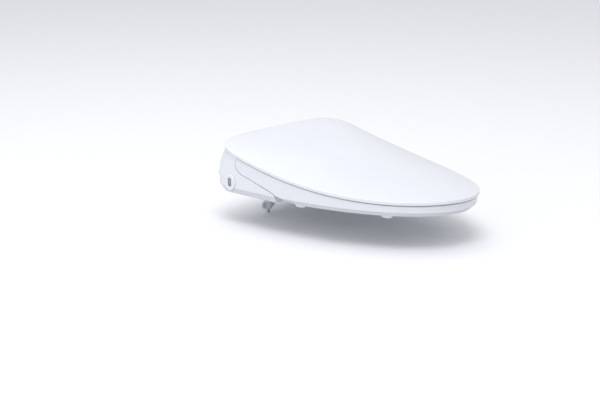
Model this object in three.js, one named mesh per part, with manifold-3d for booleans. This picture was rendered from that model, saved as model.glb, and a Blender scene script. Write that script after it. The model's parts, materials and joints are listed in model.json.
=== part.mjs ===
// Electric bidet seat. Millimetres, +Z up, -Y towards the front of the bowl, +X right seen from the front.
// The origin lies midway between the two fixing bolts, on the underside of the mounting plate.
import * as THREE from 'three';
import { mergeVertices } from 'three/addons/utils/BufferGeometryUtils.js';
import Module from 'manifold-3d';

const wasm = await Module();
wasm.setup();

// ---------------------------------------------------------------- driving dimensions
const HALF_WIDTH = 189; // lid, at its widest
const LID_REAR = 44;
const LID_LENGTH = 504;
const WIDEST = 96; // distance of the widest place in front of the lid's rear edge
const REAR_POWER = 4.4; // roundness of the rear corners
const SIDE_POWER = 1.9;
const NOSE_POWER = 2.35;
const CENTRE_Y = LID_REAR - LID_LENGTH / 2;
const AROUND = 11; // outline steps in each quadrant

const GAP_REAR = 98.5; // height of the lid's lower edge at the rear, at the front, and its sag between
const GAP_FRONT = 30.6;
const GAP_SAG = 23.7;
const LID_EDGE = 7;
const LID_WALL = 3.6;
const CROWN_REAR = 19;
const CROWN_FRONT = 5;
const CROWN_POWER = 2.44;

const AXIS_Y = 32; // common hinge axis of lid and seat
const AXIS_Z = 89;
const PIN_R = 4;
const PIN_BORE = 4.4; // in the turning pieces
const KNUCKLE_R = 8.5;
const HUMP_R = 9.8;
const DAMPER_R = 7.5;

const BODY_HALF = 186;
const BODY_REAR = 58;
const BODY_FRONT = -77;
const HUMP_HALF = 110; // raised middle of the cover, between the seat's arms
const CHEEK_IN = 162; // inner side of the cheeks outside the arms
const WING_IN = 160;
const CASE_BOTTOM = 0.6;
const CASE_FLOOR = 3; // underside of the casing's floor, inside the skirt round its edge
const CASE_TOP = 13;
const WALL = 3.5;
const STEP_Z = 33; // the rear wall steps back below this height
const CORNER_LOW = 46; // radius of the rear corners, which grow rounder above the step
const CORNER_TOP = 74;
const GAP = 0.3; // between pieces that touch

const HOLE_HALF = 108;
const HOLE_REAR = -105;
const HOLE_FRONT = -396;
const HOLE_WIDEST = -235;
const SEAT_LOW = 5;
const SEAT_SPLIT = 12;
const CHAMFER_Z = 14; // the seat's flank turns inwards below this height
const SEAM = 0.8; // open seam between seat and body
const ARCH_HALF = 104; // raised underside of the seat's rear bridge
const ARCH_TOP = 31;

const PLATE = { half: 100, front: -38, rear: 46, top: 8.5 };
const BOLT_X = 70;
const BOLT_R = 4;

const WAND_SLOPE = 20 * Math.PI / 180;
const WAND_EXIT = new THREE.Vector3(0, BODY_FRONT, 13);
const WAND_R = 7;
const WAND_TRAVEL = 78;
const GEAR_MODULE = 1.5;
const GEAR_TEETH = 14;
const RACK_PITCH_X = 8.4;

const BUTTON = { y: -4.2, z: 25, bezel: 17, narrow: 0.88, half: 4, height: 8.2 };
const RELEASE = { y: -66, z: 21, half: 6.9, height: 4.5 };
const INLET = { y: 26, z: 24, bore: 7, radius: 10.2 };
const GLAND = { x: 120, z: 22, rear: 56 };

// ---------------------------------------------------------------- materials
const whiteGloss = [0xeef1f8, 0.22, 0];
const whiteSatin = [0xe6e9f0, 0.4, 0];
const greyPlastic = [0xb9bdc6, 0.5, 0];
const darkPlastic = [0x3a3d42, 0.5, 0];
const rubber = [0xc9ccd2, 0.85, 0];
const steel = [0xc4c6c9, 0.3, 1];
const brass = [0xb8964f, 0.35, 1];
const copperFoil = [0xb5763f, 0.4, 1];
const boardGreen = [0x2d6b45, 0.55, 0];
const carbon = [0x2b2b2d, 0.9, 0];

const product = new THREE.Group();

function place(name, shape, [color, roughness, metalness]) {
  const geometry = shape.isBufferGeometry ? shape : toGeometry(shape);
  const material = new THREE.MeshStandardMaterial({ color, roughness, metalness });
  const mesh = new THREE.Mesh(geometry, material);
  mesh.name = name;
  product.add(mesh);
  return mesh;
}

// ---------------------------------------------------------------- solids
function toSolid(geometry) {
  geometry.deleteAttribute('normal');
  geometry.deleteAttribute('uv');
  const merged = mergeVertices(geometry, 1e-4);
  return new wasm.Manifold(new wasm.Mesh({
    numProp: 3,
    vertProperties: new Float32Array(merged.attributes.position.array),
    triVerts: new Uint32Array(merged.index.array),
  }));
}

function toGeometry(solid) {
  const { vertProperties, triVerts } = solid.getMesh();
  const geometry = new THREE.BufferGeometry();
  geometry.setAttribute('position', new THREE.BufferAttribute(new Float32Array(vertProperties), 3));
  geometry.setIndex(new THREE.BufferAttribute(new Uint32Array(triVerts), 1));
  return geometry;
}

const joined = (...solids) => solids.reduce((all, one) => all.add(one));
const cut = (solid, ...tools) => tools.reduce((all, one) => all.subtract(one), solid);

function block(x0, x1, y0, y1, z0, z1) {
  const box = new THREE.BoxGeometry(x1 - x0, y1 - y0, z1 - z0);
  box.translate((x0 + x1) / 2, (y0 + y1) / 2, (z0 + z1) / 2);
  return toSolid(box);
}

// A rod between two points.
function rod(from, to, radius, sides = 20, endRadius = radius) {
  const a = new THREE.Vector3(...from);
  const b = new THREE.Vector3(...to);
  const axis = b.clone().sub(a);
  const cylinder = new THREE.CylinderGeometry(endRadius, radius, axis.length(), sides);
  cylinder.applyQuaternion(new THREE.Quaternion().setFromUnitVectors(
    new THREE.Vector3(0, 1, 0), axis.clone().normalize()));
  cylinder.translate(...a.add(b).multiplyScalar(0.5).toArray());
  return toSolid(cylinder);
}

const extruded = (shape, depth) => (
  new THREE.ExtrudeGeometry(shape, { depth, bevelEnabled: false, curveSegments: 1 }));

// A side profile of (y, z) points, swept along X.
function sideProfile(points, x0, x1) {
  const shape = new THREE.Shape(points.map(([y, z]) => new THREE.Vector2(y, z)));
  const geometry = extruded(shape, x1 - x0);
  const turn = new THREE.Matrix4().makeBasis(
    new THREE.Vector3(0, 1, 0), new THREE.Vector3(0, 0, 1), new THREE.Vector3(1, 0, 0));
  geometry.applyMatrix4(turn);
  geometry.translate(x0, 0, 0);
  return toSolid(geometry);
}

const bothSides = (points, x0, x1) => joined(sideProfile(points, x0, x1), sideProfile(points, -x1, -x0));

function arc(cy, cz, radius, fromDegrees, toDegrees, steps) {
  const points = [];
  for (let i = 0; i <= steps; i += 1) {
    const angle = (fromDegrees + (toDegrees - fromDegrees) * i / steps) * Math.PI / 180;
    points.push([cy + radius * Math.cos(angle), cz + radius * Math.sin(angle)]);
  }
  return points;
}

// Closed skin over a grid: rings of equal length, joined in order. Either the last ring joins the first, as in
// a tube round a hole, or both ends are capped.
function skin(rings, closed) {
  const count = rings[0].length;
  const position = rings.flat(2);
  const index = [];
  const last = closed ? rings.length : rings.length - 1;
  for (let r = 0; r < last; r += 1) {
    const next = (r + 1) % rings.length;
    for (let i = 0; i < count; i += 1) {
      const j = (i + 1) % count;
      const [a, b, c, d] = [r * count + i, r * count + j, next * count + j, next * count + i];
      index.push(a, b, c, a, c, d);
    }
  }
  if (!closed) {
    for (const [r, flip] of [[0, true], [rings.length - 1, false]]) {
      const contour = rings[r].map(([x, y]) => new THREE.Vector2(x, y));
      for (const [a, b, c] of THREE.ShapeUtils.triangulateShape(contour, [])) {
        const base = r * count;
        index.push(base + a, base + (flip ? c : b), base + (flip ? b : c));
      }
    }
  }
  const geometry = new THREE.BufferGeometry();
  geometry.setAttribute('position', new THREE.Float32BufferAttribute(position, 3));
  geometry.setIndex(index);
  return toSolid(geometry);
}

// ---------------------------------------------------------------- master surfaces
const power = (value, exponent) => Math.sign(value) * Math.abs(value) ** exponent;

// Lid outline: a squarish rear part and a pointed front part, evenly stepped in four quadrants.
function lidOutline() {
  const right = [];
  for (let i = 0; i <= AROUND; i += 1) {
    const t = i / AROUND * Math.PI / 2;
    right.push([
      HALF_WIDTH * power(Math.sin(t), 2 / REAR_POWER),
      LID_REAR - WIDEST * (1 - power(Math.cos(t), 2 / REAR_POWER))]);
  }
  for (let i = 1; i <= AROUND; i += 1) {
    const t = i / AROUND * Math.PI / 2;
    right.push([
      HALF_WIDTH * power(Math.cos(t), 2 / SIDE_POWER),
      LID_REAR - WIDEST - (LID_LENGTH - WIDEST) * power(Math.sin(t), 2 / NOSE_POWER)]);
  }
  const left = right.slice(1, -1).map(([x, y]) => [-x, y]);
  return [...left, right[right.length - 1], ...right.slice(0, -1).reverse()];
}

function holeOutline() {
  return lidOutline().map(([x, y]) => {
    const front = y < LID_REAR - WIDEST;
    const widestY = LID_REAR - WIDEST;
    const reach = front ? (widestY - y) / (LID_LENGTH - WIDEST) : (y - widestY) / WIDEST;
    const length = front ? HOLE_FRONT - HOLE_WIDEST : HOLE_REAR - HOLE_WIDEST;
    const angle = Math.atan2(reach ** 1.15, (Math.abs(x) / HALF_WIDTH) ** (front ? 1 : 1.9));
    return [Math.sign(x) * HOLE_HALF * Math.cos(angle) ** 0.9, HOLE_WIDEST + length * Math.sin(angle)];
  });
}

const OUTLINE = lidOutline();
const HOLE = holeOutline();

function gapHeight(y) {
  const t = Math.min(Math.max((LID_REAR - y) / LID_LENGTH, 0), 1);
  return GAP_REAR + (GAP_FRONT - GAP_REAR) * t - 4 * GAP_SAG * t * (1 - t);
}

function lidTopHeight(y, k) {
  const t = (LID_REAR - y) / LID_LENGTH;
  const crown = CROWN_REAR + (CROWN_FRONT - CROWN_REAR) * t;
  return gapHeight(y) + LID_EDGE + crown * (1 - k ** CROWN_POWER);
}

const shrunk = ([x, y], k) => [x * k, CENTRE_Y + (y - CENTRE_Y) * k];
const lidRing = (k, height) => OUTLINE.map((p) => {
  const [x, y] = shrunk(p, k);
  return [x, y, height(y, k)];
});

// A rod round the hinge axis, from x0 to x1.
const onAxis = (x0, x1, radius, sides = 24) => rod([x0, AXIS_Y, AXIS_Z], [x1, AXIS_Y, AXIS_Z], radius, sides);

// ---------------------------------------------------------------- lid
function lidBody() {
  const top = lidTopHeight;
  const under = (y, k) => lidTopHeight(y, k) - LID_WALL;
  const rings = [
    ...[0.16, 0.5, 0.8, 0.966].map((k) => lidRing(k, under)),
    lidRing(0.972, (y) => gapHeight(y) + 0.6),
    lidRing(0.995, (y) => gapHeight(y)),
    lidRing(1, (y) => gapHeight(y) + 1.2),
    lidRing(1, (y) => gapHeight(y) + LID_EDGE - 2.2),
    lidRing(0.992, (y) => gapHeight(y) + LID_EDGE),
    ...[0.965, 0.8, 0.5, 0.16].map((k) => lidRing(k, top)),
  ];
  const plain = skin(rings, false);
  const knuckleRoom = onAxis(-CHEEK_IN + 1, CHEEK_IN - 1, KNUCKLE_R + 1.9);
  const lug = [...arc(AXIS_Y, AXIS_Z, KNUCKLE_R, 150, 390, 14), [AXIS_Y + 5, 100.5], [AXIS_Y - 7, 100]];
  return cut(joined(cut(plain, knuckleRoom), bothSides(lug, 130, 142)), onAxis(-150, 150, PIN_BORE));
}
place('lid', lidBody(), whiteGloss);

// ---------------------------------------------------------------- seat
// A point of the seat's section: s runs from the outline (0) to the hole (1); inset is taken at the outline.
function seatRing(s, inset, height) {
  return OUTLINE.map((p, i) => {
    const [ox, oy] = shrunk(p, 1 - inset / HALF_WIDTH);
    const [hx, hy] = HOLE[i];
    const y = oy + (hy - oy) * s;
    return [ox + (hx - ox) * s, y, typeof height === 'number' ? height : height(gapHeight(y))];
  });
}
const seatSolid = (stations) => skin(stations.map((station) => seatRing(...station)), true);

// Seam between the seat's flank and the body's cheek and wing, from the lid's edge down to the wing's tip.
const SEAM_LINE = [
  [-20.6, 78], [-20.8, 75], [-17.6, 65], [-18.8, 57], [-26, 48.5], [-37, 43.5], [-55, 39], [-100, 25.4],
  [-118, 19], [-123.4, 16]];
const WING_TIP = [[-124.5, CASE_TOP], [-124.5, CASE_BOTTOM - 0.3]];
const SEAT_HEEL = [[-142, 11], [-168, 4.6]]; // along it the seat's lower edge rises to the wing's tip
const raised = (points, grow) => points.map(([y, z]) => [y - grow, z + grow * 0.9]);

function cheekProfile(grow, base) {
  const front = raised([...SEAM_LINE, ...WING_TIP], grow);
  const roof = [-14, -4, 8, 18, 24].map((y) => [y, gapHeight(y) - 1.4 + grow]).reverse();
  return [[70, base], [70, 79], [48, 82], [36, 86], ...roof, ...front, [WING_TIP[0][0] - grow, base]];
}

function bodyZone(grow) {
  const middle = block(-WING_IN - 1, WING_IN + 1, BODY_FRONT - grow, 80, -10, 140);
  const arch = block(-ARCH_HALF - grow, ARCH_HALF + grow, -135, -70, -10, ARCH_TOP + grow);
  const cheeks = bothSides(cheekProfile(grow, -10), WING_IN, HALF_WIDTH + 10);
  const behind = block(-200, 200, -20.6 - grow, 80, 70, 140);
  const heel = bothSides(
    [[-110, -10], [-110, 10], ...raised([...SEAM_LINE.slice(-1), ...SEAT_HEEL], grow), [SEAT_HEEL[1][0] - grow, -10]],
    WING_IN, HALF_WIDTH + 10);
  return joined(middle, arch, cheeks, behind, heel);
}

function armProfile() {
  const ys = [-86, -60, -30, 0, 12, 24];
  return [
    ...ys.map((y) => [y, gapHeight(y) - 16]),
    ...arc(AXIS_Y, AXIS_Z, KNUCKLE_R, 250, 470, 14),
    ...ys.map((y) => [y, gapHeight(y) - 1.6]).reverse(),
  ];
}

function seatTopShell() {
  const outer = seatSolid([
    [0, 5.2, SEAT_SPLIT + GAP], [0, 3.6, CHAMFER_Z], [0, 3, (g) => g - 9], [0, 2.4, (g) => g - 5], [0, 4.5, (g) => g - 2.4],
    [0.12, 4.5, (g) => g - 1.4], [0.45, 4.5, (g) => g - 0.6], [0.8, 4.5, (g) => g - 3],
    [0.95, 4.5, (g) => g - 6.5], [1, 0, (g) => g - 11], [1, 0, SEAT_SPLIT + GAP]]);
  const hollow = seatSolid([
    [0, 9.2, 0], [0, 6.2, (g) => g - 9], [0, 7, (g) => g - 6], [0.14, 4.5, (g) => g - 4.6],
    [0.45, 4.5, (g) => g - 3.8], [0.78, 4.5, (g) => g - 6], [0.9, 4.5, (g) => g - 9.5],
    [0.93, 0, (g) => g - 13], [0.93, 0, 0]]);
  const shell = cut(outer, bodyZone(SEAM), cut(hollow, bodyZone(SEAM + 3)));
  const arms = joined(
    sideProfile(armProfile(), HUMP_HALF + 4, 128),
    sideProfile(armProfile(), -128, -HUMP_HALF - 4));
  const foot = (x0, x1) => sideProfile([
    [-84, gapHeight(-84) - 22], [6, gapHeight(6) - 16], [6, gapHeight(6) - 1.6],
    ...[-20, -45, -65, -84].map((y) => [y, gapHeight(y) - 1.8])], x0, x1);
  return cut(joined(shell, arms, foot(114, 157), foot(-157, -114)), onAxis(-160, 160, PIN_BORE));
}
place('seat_top_shell', seatTopShell(), whiteGloss);

function seatBottomShell() {
  const ring = seatSolid([
    [0, 5.5, SEAT_SPLIT], [0.1, 6.4, SEAT_SPLIT], [0.12, 6.4, 8], [0.88, 7.4, 8], [0.9, 7.4, SEAT_SPLIT],
    [1, 0, SEAT_SPLIT], [0.98, 0, SEAT_LOW], [0, 11.4, SEAT_LOW]]);
  return cut(ring, bodyZone(SEAM));
}
place('seat_bottom_shell', seatBottomShell(), whiteSatin);

// A thin foil under the seat's top, from s to s of the section.
function seatHeater() {
  const inner = 0.2;
  const outer = 0.72;
  const foil = seatSolid([
    [inner, 4.5, (g) => g - 6], [inner, 4.5, (g) => g - 5.2],
    [outer, 4.5, (g) => g - 6.4], [outer, 4.5, (g) => g - 7.2]]);
  return cut(foil, block(-200, 200, -125, 60, -10, 140));
}
place('seat_heater_foil', seatHeater(), copperFoil);
place('seat_occupancy_sensor', block(-157, -137, -150, -132, 14, 19), darkPlastic);

const SEAT_BUMPERS = {
  rear_left: [-163, -175],
  rear_right: [163, -175],
  front_left: [-112, -347],
  front_right: [112, -347],
};
// An oval pad, longer along Y, with its lower edge drawn in.
function seatBumper(x, y) {
  const ring = (radius, z) => Array.from({ length: 12 }, (_, i) => {
    const angle = i / 12 * 2 * Math.PI;
    return [x + radius * Math.cos(angle), y + 1.6 * radius * Math.sin(angle), z];
  });
  return skin([ring(7, 0.02), ring(8, 1.5), ring(8, SEAT_LOW - GAP)], false);
}
for (const [corner, [x, y]] of Object.entries(SEAT_BUMPERS)) {
  place(`seat_bumper_${corner}`, seatBumper(x, y), rubber);
}

// Pads under the lid, which rest on the seat. Each is named with its point of the outline.
const LID_BUMPERS = {
  rear_left: 8,
  rear_right: 4 * AROUND - 10,
  front_left: 18,
  front_right: 4 * AROUND - 20,
};
function lidBumper(at) {
  const k = 0.86;
  const [x, y] = shrunk(OUTLINE[at], k);
  const top = lidTopHeight(y, k) - LID_WALL - 2.2;
  return rod([x, y, gapHeight(y) + 0.9], [x, y, top], 5, 16);
}
for (const [corner, at] of Object.entries(LID_BUMPERS)) {
  place(`lid_bumper_${corner}`, lidBumper(at), rubber);
}

// ---------------------------------------------------------------- body casing
// Plan of the casing: straight sides and round rear corners. Inset moves the sides in, back the rear wall.
function casingPlan(inset, back, z, corner = CORNER_LOW) {
  const half = BODY_HALF - inset;
  const rear = BODY_REAR - back;
  const points = [];
  for (let i = 0; i <= 7; i += 1) {
    const angle = i / 7 * Math.PI / 2;
    points.push([half - corner + corner * Math.cos(angle), rear - corner + corner * Math.sin(angle), z]);
  }
  const mirrored = points.map(([x, y]) => [-x, y, z]).reverse();
  return [[half, -150, z], ...points, ...mirrored, [-half, -150, z]];
}

const humpRoof = (drop) => [20, 8, -10, -30, -50, -66].map((y) => [y, gapHeight(y) + 3.4 - drop]);
const humpProfile = [
  [70, 0], [70, 66], [54, 68], [37, 68], ...arc(AXIS_Y, AXIS_Z, HUMP_R, -72, 95, 12), ...humpRoof(0),
  [-73.5, gapHeight(-73) + 1.2], [BODY_FRONT, 61], [BODY_FRONT, 0]];
const slotProfile = [
  [70, 0], [70, 66], [54, 68], [30, 68], [20, 68], [10, gapHeight(10) - 21], [-20, gapHeight(-20) - 21],
  [-50, gapHeight(-50) - 22], [BODY_FRONT, gapHeight(BODY_FRONT) - 26], [BODY_FRONT, 0]];

function bodyProfiles() {
  return joined(
    sideProfile(humpProfile, -HUMP_HALF, HUMP_HALF),
    bothSides(slotProfile, HUMP_HALF - 1, WING_IN + 0.2),
    bothSides(cheekProfile(0, 0), WING_IN, BODY_HALF + 10));
}

const NOZZLE_AXIS = new THREE.Vector3(0, -Math.cos(WAND_SLOPE), -Math.sin(WAND_SLOPE));
const along = (s, x = 0, v = 0) => {
  const up = new THREE.Vector3(0, -Math.sin(WAND_SLOPE), Math.cos(WAND_SLOPE));
  return WAND_EXIT.clone().addScaledVector(NOZZLE_AXIS, s).addScaledVector(up, v).setX(x).toArray();
};
// A box in the wand's own frame: x across, v square to the axis, s along it.
function wandBlock(x0, x1, v0, v1, s0, s1) {
  const box = new THREE.BoxGeometry(x1 - x0, v1 - v0, s1 - s0);
  box.translate((x0 + x1) / 2, (v0 + v1) / 2, (s0 + s1) / 2);
  box.applyMatrix4(wandFrame());
  return toSolid(box);
}
function wandFrame() {
  const up = new THREE.Vector3(0, -Math.sin(WAND_SLOPE), Math.cos(WAND_SLOPE));
  const frame = new THREE.Matrix4().makeBasis(new THREE.Vector3(1, 0, 0), up, NOZZLE_AXIS.clone());
  return frame.setPosition(WAND_EXIT);
}
const wandOpening = joined(
  rod(along(-22), along(14), WAND_R + 1.8, 24),
  wandBlock(0, 11.4, -3.6, 3.6, -26, 14));

const CASE_SCREWS = {
  front_left: [-138, -60],
  front_right: [138, -60],
  rear_left: [-138, 28],
  rear_right: [138, 28],
};
const screwPosts = Object.values(CASE_SCREWS);

function upperCover() {
  const outer = skin([
    casingPlan(0, 5.9, CASE_TOP + GAP), casingPlan(0, 5.6, STEP_Z - 1.2),
    casingPlan(0.3, 1.7, STEP_Z + 0.6), casingPlan(1.2, 4.6, 66, 56), casingPlan(3, 10, 100, CORNER_TOP)], false);
  const middleRoom = sideProfile([
    [49, 0], [49, 63], [31, 63], [26, 70], [26, 88], ...humpRoof(WALL), [-72, 58], [BODY_FRONT + WALL, 56],
    [BODY_FRONT + WALL, 0]], -HUMP_HALF + WALL, HUMP_HALF - WALL);
  const damperRoom = onAxis(-96, 96, DAMPER_R + 0.4);
  const slotRoom = bothSides([
    [44, 0], [44, 63], [28, 63], [10, gapHeight(10) - 25], [-40, gapHeight(-40) - 26],
    [BODY_FRONT + WALL, 35], [BODY_FRONT + WALL, 0]], HUMP_HALF - WALL - 1, 156);
  const cheekRoom = bothSides([
    [4, 0], [4, 74], [-12, 70], [-13, 60], [-20, 46], [-34, 38.5], [-55, 34], [-100, 21], [-112, 16],
    [-114, 0]], 165, 179);
  const wingRoom = bothSides([
    [4, 0], [4, 38], [-34, 38], [-55, 34], [-100, 21], [-112, 16], [-114, 0]], 178, 181.5);
  const rooms = [middleRoom, damperRoom, slotRoom, cheekRoom, wingRoom];
  const shell = cut(outer.intersect(bodyProfiles()), ...rooms);
  const posts = joined(...screwPosts.map(([x, y]) => rod([x, y, CASE_TOP + GAP], [x, y, 65.5], 5, 12)));
  const pilots = screwPosts.map(([x, y]) => rod([x, y, 0], [x, y, 30], 1.8, 10));
  const room = joined(
    wandOpening,
    onAxis(-150, 150, PIN_R + GAP, 20),
    block(-95, -55, -80, -70, 15, 30), // dryer outlet
    capsuleX(-200, -150, BUTTON.y, BUTTON.z, BUTTON.half + 0.5, BUTTON.height + 0.5),
    block(114, 200, -44, -2, 17, 33), // filter drawer
    rod([150, INLET.y, INLET.z], [210, INLET.y, INLET.z], INLET.radius + 0.8, 24),
    rod([GLAND.x, 40, GLAND.z], [GLAND.x, 80, GLAND.z], 6.4, 16),
    capsuleX(150, 200, RELEASE.y, RELEASE.z, RELEASE.half + 0.5, RELEASE.height + 0.5));
  return cut(joined(shell, posts.intersect(bodyProfiles())), ...pilots, room);
}

// A flat-sided oval hole or plunger along X: half is its half width along Y, height its half height.
function capsuleX(x0, x1, y, z, half, height) {
  const wide = half > height;
  const r = Math.min(half, height);
  const reach = Math.max(half, height) - r;
  const points = [];
  for (let i = 0; i < 24; i += 1) {
    const angle = i / 24 * 2 * Math.PI + Math.PI / 24;
    const side = wide ? Math.sign(Math.cos(angle)) : Math.sign(Math.sin(angle));
    points.push([
      y + r * Math.cos(angle) + (wide ? side * reach : 0),
      z + r * Math.sin(angle) + (wide ? 0 : side * reach)]);
  }
  return sideProfile(points, x0, x1);
}
place('upper_cover', upperCover(), whiteGloss);

function lowerCase() {
  const outer = skin([
    casingPlan(8.6, 12, CASE_BOTTOM), casingPlan(0.8, 6.4, CASE_TOP)], false);
  const keep = joined(
    block(-WING_IN - 1, WING_IN + 1, BODY_FRONT, 80, 0, 30),
    bothSides([[70, 0], [70, 30], [WING_TIP[0][0], 30], [WING_TIP[0][0], 0]], WING_IN, 200));
  const tray = cut(outer.intersect(keep),
    block(-152, 152, BODY_FRONT + WALL, 38, 6, 30),
    block(-150, 150, BODY_FRONT + 6, 36, -1, CASE_FLOOR),
    block(-173, -165, -112, 12, 6, 30), block(165, 173, -112, 12, 6, 30));
  const island = block(-PLATE.half - 8, PLATE.half + 8, PLATE.front - 7, 46, CASE_BOTTOM, CASE_TOP - 0.5);
  const recess = block(-PLATE.half - 4, PLATE.half + 4, PLATE.front - 3, 90, -5, 10.2);
  const posts = screwPosts.map(([x, y]) => rod([x, y, CASE_FLOOR + 0.5], [x, y, CASE_TOP], 6, 14));
  const holes = screwPosts.flatMap(([x, y]) => [
    rod([x, y, 0], [x, y, 8], 4, 12), rod([x, y, 0], [x, y, 20], 1.9, 12)]);
  const room = joined(wandOpening, rod([150, INLET.y, INLET.z], [210, INLET.y, INLET.z], 11.2, 24));
  return cut(joined(tray, island, ...posts), recess, room, ...holes);
}
place('lower_case', lowerCase(), whiteSatin);

for (const [corner, [x, y]] of Object.entries(CASE_SCREWS)) {
  const screw = joined(rod([x, y, 5.6], [x, y, 7.6], 3.4, 10), rod([x, y, 7], [x, y, 26], 1.4, 8));
  place(`case_screw_${corner}`, screw, steel);
}

// ---------------------------------------------------------------- hinge pins and dampers
for (const [side, sign] of [['left', -1], ['right', 1]]) {
  place(`hinge_pin_${side}`, onAxis(sign * 97, sign * 143, PIN_R), steel);
}
place('seat_damper', onAxis(-94, -26, DAMPER_R, 20), darkPlastic);
place('lid_damper', onAxis(26, 94, DAMPER_R, 20), darkPlastic);

// ---------------------------------------------------------------- mounting plate and bolts
function mountingPlate() {
  const base = block(-PLATE.half, PLATE.half, PLATE.front, PLATE.rear, 0, PLATE.top);
  const holes = [-1, 1].flatMap((side) => [
    block(side * BOLT_X - 14, side * BOLT_X + 14, -9, 9, 3.5, 20),
    block(side * BOLT_X - 9, side * BOLT_X + 9, -BOLT_R - 0.6, BOLT_R + 0.6, -5, 20)]);
  const pocket = block(-40, 40, -26, 34, 3.5, 20);
  const rib = block(-2, 2, -30, 38, 2, PLATE.top);
  return joined(cut(base, ...holes, pocket), rib);
}
place('mounting_plate', mountingPlate(), greyPlastic);
for (const [side, sign] of [['left', -1], ['right', 1]]) {
  const x = sign * BOLT_X;
  const bolt = joined(rod([x, 0, 3.8], [x, 0, 8], 8, 20), rod([x, 0, 4], [x, 0, -62], BOLT_R, 16));
  place(`fixing_bolt_${side}`, bolt, steel);
  const bore = rod([x, 0, -70], [x, 0, 5], BOLT_R + GAP, 16);
  place(`rubber_washer_${side}`, cut(rod([x, 0, -36], [x, 0, -29], 14, 20, 9), bore), rubber);
  const wings = block(x - 19, x + 19, -2.5, 2.5, -52, -38);
  place(`wing_nut_${side}`, cut(joined(rod([x, 0, -54], [x, 0, -36.4], 9.5, 20), wings), bore), whiteSatin);
}

// ---------------------------------------------------------------- wash nozzle
function nozzleWand() {
  const tube = cut(rod(along(-112), along(-22.3), WAND_R, 24), wandBlock(5.6, 12, -9, 9, -120, -20));
  return cut(tube, rod(along(-120), along(-40), 3, 12));
}
place('nozzle_wand', nozzleWand(), whiteSatin);

function nozzleTip() {
  const nose = joined(rod(along(-22), along(-8), WAND_R, 24), rod(along(-8), along(-4), WAND_R, 24, 4.5));
  const jets = [-18, -15, -12].map((s) => rod(along(s, 0, 5), along(s, 0, 9), 0.9, 8));
  return cut(nose, ...jets);
}
place('nozzle_tip', nozzleTip(), steel);

// Teeth of rack and pinion: half widths at the tip, pitch line and root.
const TOOTH = { tip: 0.5, pitch: 0.92, root: 1.3, addendum: 1.2, dedendum: 1.5 };
const RACK_PITCH = Math.PI * GEAR_MODULE;
const GEAR_R = GEAR_MODULE * GEAR_TEETH / 2;
const GEAR_S = -29;

function toWand(shape, depth, v0, x0) {
  const geometry = extruded(shape, depth);
  const up = new THREE.Vector3(0, -Math.sin(WAND_SLOPE), Math.cos(WAND_SLOPE));
  const frame = new THREE.Matrix4().makeBasis(new THREE.Vector3(1, 0, 0), NOZZLE_AXIS.clone().negate(), up);
  frame.setPosition(WAND_EXIT);
  geometry.translate(x0, 0, v0);
  geometry.applyMatrix4(frame);
  return toSolid(geometry);
}

// The rack has a gap of its teeth facing the pinion's tooth at the place GEAR_S.
function nozzleRack() {
  const first = -GEAR_S - RACK_PITCH / 2;
  const outline = [[5.9, 24], [5.9, 111.5], [RACK_PITCH_X - TOOTH.dedendum, 111.5]];
  const teeth = [];
  for (let y = first; y < 109; y += RACK_PITCH) teeth.push(y);
  for (const y of teeth.reverse()) {
    outline.push(
      [RACK_PITCH_X - TOOTH.dedendum, y + TOOTH.root], [RACK_PITCH_X, y + TOOTH.pitch],
      [RACK_PITCH_X + TOOTH.addendum, y + TOOTH.tip], [RACK_PITCH_X + TOOTH.addendum, y - TOOTH.tip],
      [RACK_PITCH_X, y - TOOTH.pitch], [RACK_PITCH_X - TOOTH.dedendum, y - TOOTH.root]);
  }
  outline.push([RACK_PITCH_X - TOOTH.dedendum, 24]);
  const shape = new THREE.Shape(outline.map(([x, y]) => new THREE.Vector2(x, y)));
  return toWand(shape, 4.4, -2.2, 0);
}
place('nozzle_rack', nozzleRack(), greyPlastic);

function drivePinion() {
  const points = [];
  for (let i = 0; i < GEAR_TEETH; i += 1) {
    const middle = Math.PI + i / GEAR_TEETH * 2 * Math.PI;
    for (const [dr, half] of [[-TOOTH.dedendum, -1.05], [0, -TOOTH.pitch], [TOOTH.addendum, -TOOTH.tip],
      [TOOTH.addendum, TOOTH.tip], [0, TOOTH.pitch], [-TOOTH.dedendum, 1.05]]) {
      const r = GEAR_R + dr;
      points.push(new THREE.Vector2(r * Math.cos(middle + half / r), r * Math.sin(middle + half / r)));
    }
  }
  const centred = points.map((p) => new THREE.Vector2(p.x + RACK_PITCH_X + GEAR_R, p.y - GEAR_S));
  return toWand(new THREE.Shape(centred), 4, -2, 0);
}
place('drive_pinion', drivePinion(), greyPlastic);
const gearX = RACK_PITCH_X + GEAR_R;
place('nozzle_motor', rod(along(GEAR_S, gearX, 2.5), along(GEAR_S, gearX, 19), 12, 24), steel);

function nozzleGuide() {
  const cradle = wandBlock(-12, 10.5, -10, 2, -110, -30);
  return cut(cradle, wandBlock(0, 11, -3.4, 4, -120, -20), rod(along(-120), along(-20), WAND_R + 0.5, 24));
}
place('nozzle_guide', nozzleGuide(), greyPlastic);

// Splash guard that hangs round the wand's path and lifts for cleaning.
const GUARD = { y: BODY_FRONT - 1.9, top: 24.6, low: 5.5, half: 17 };
function nozzleGuard() {
  const plate = block(-GUARD.half, GUARD.half, GUARD.y - 0.9, GUARD.y + 0.9, GUARD.low, GUARD.top);
  const barrel = rod([-GUARD.half, GUARD.y, GUARD.top], [GUARD.half, GUARD.y, GUARD.top], 1.4, 12);
  const path = joined(
    rod(along(-8), along(12), WAND_R + 1, 24), block(-WAND_R - 1, 10.6, -90, -70, 0, 13),
    block(0, 10.6, -90, -70, 0, 17.4));
  return cut(joined(plate, barrel), path);
}
place('nozzle_guard', nozzleGuard(), whiteSatin);

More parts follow.
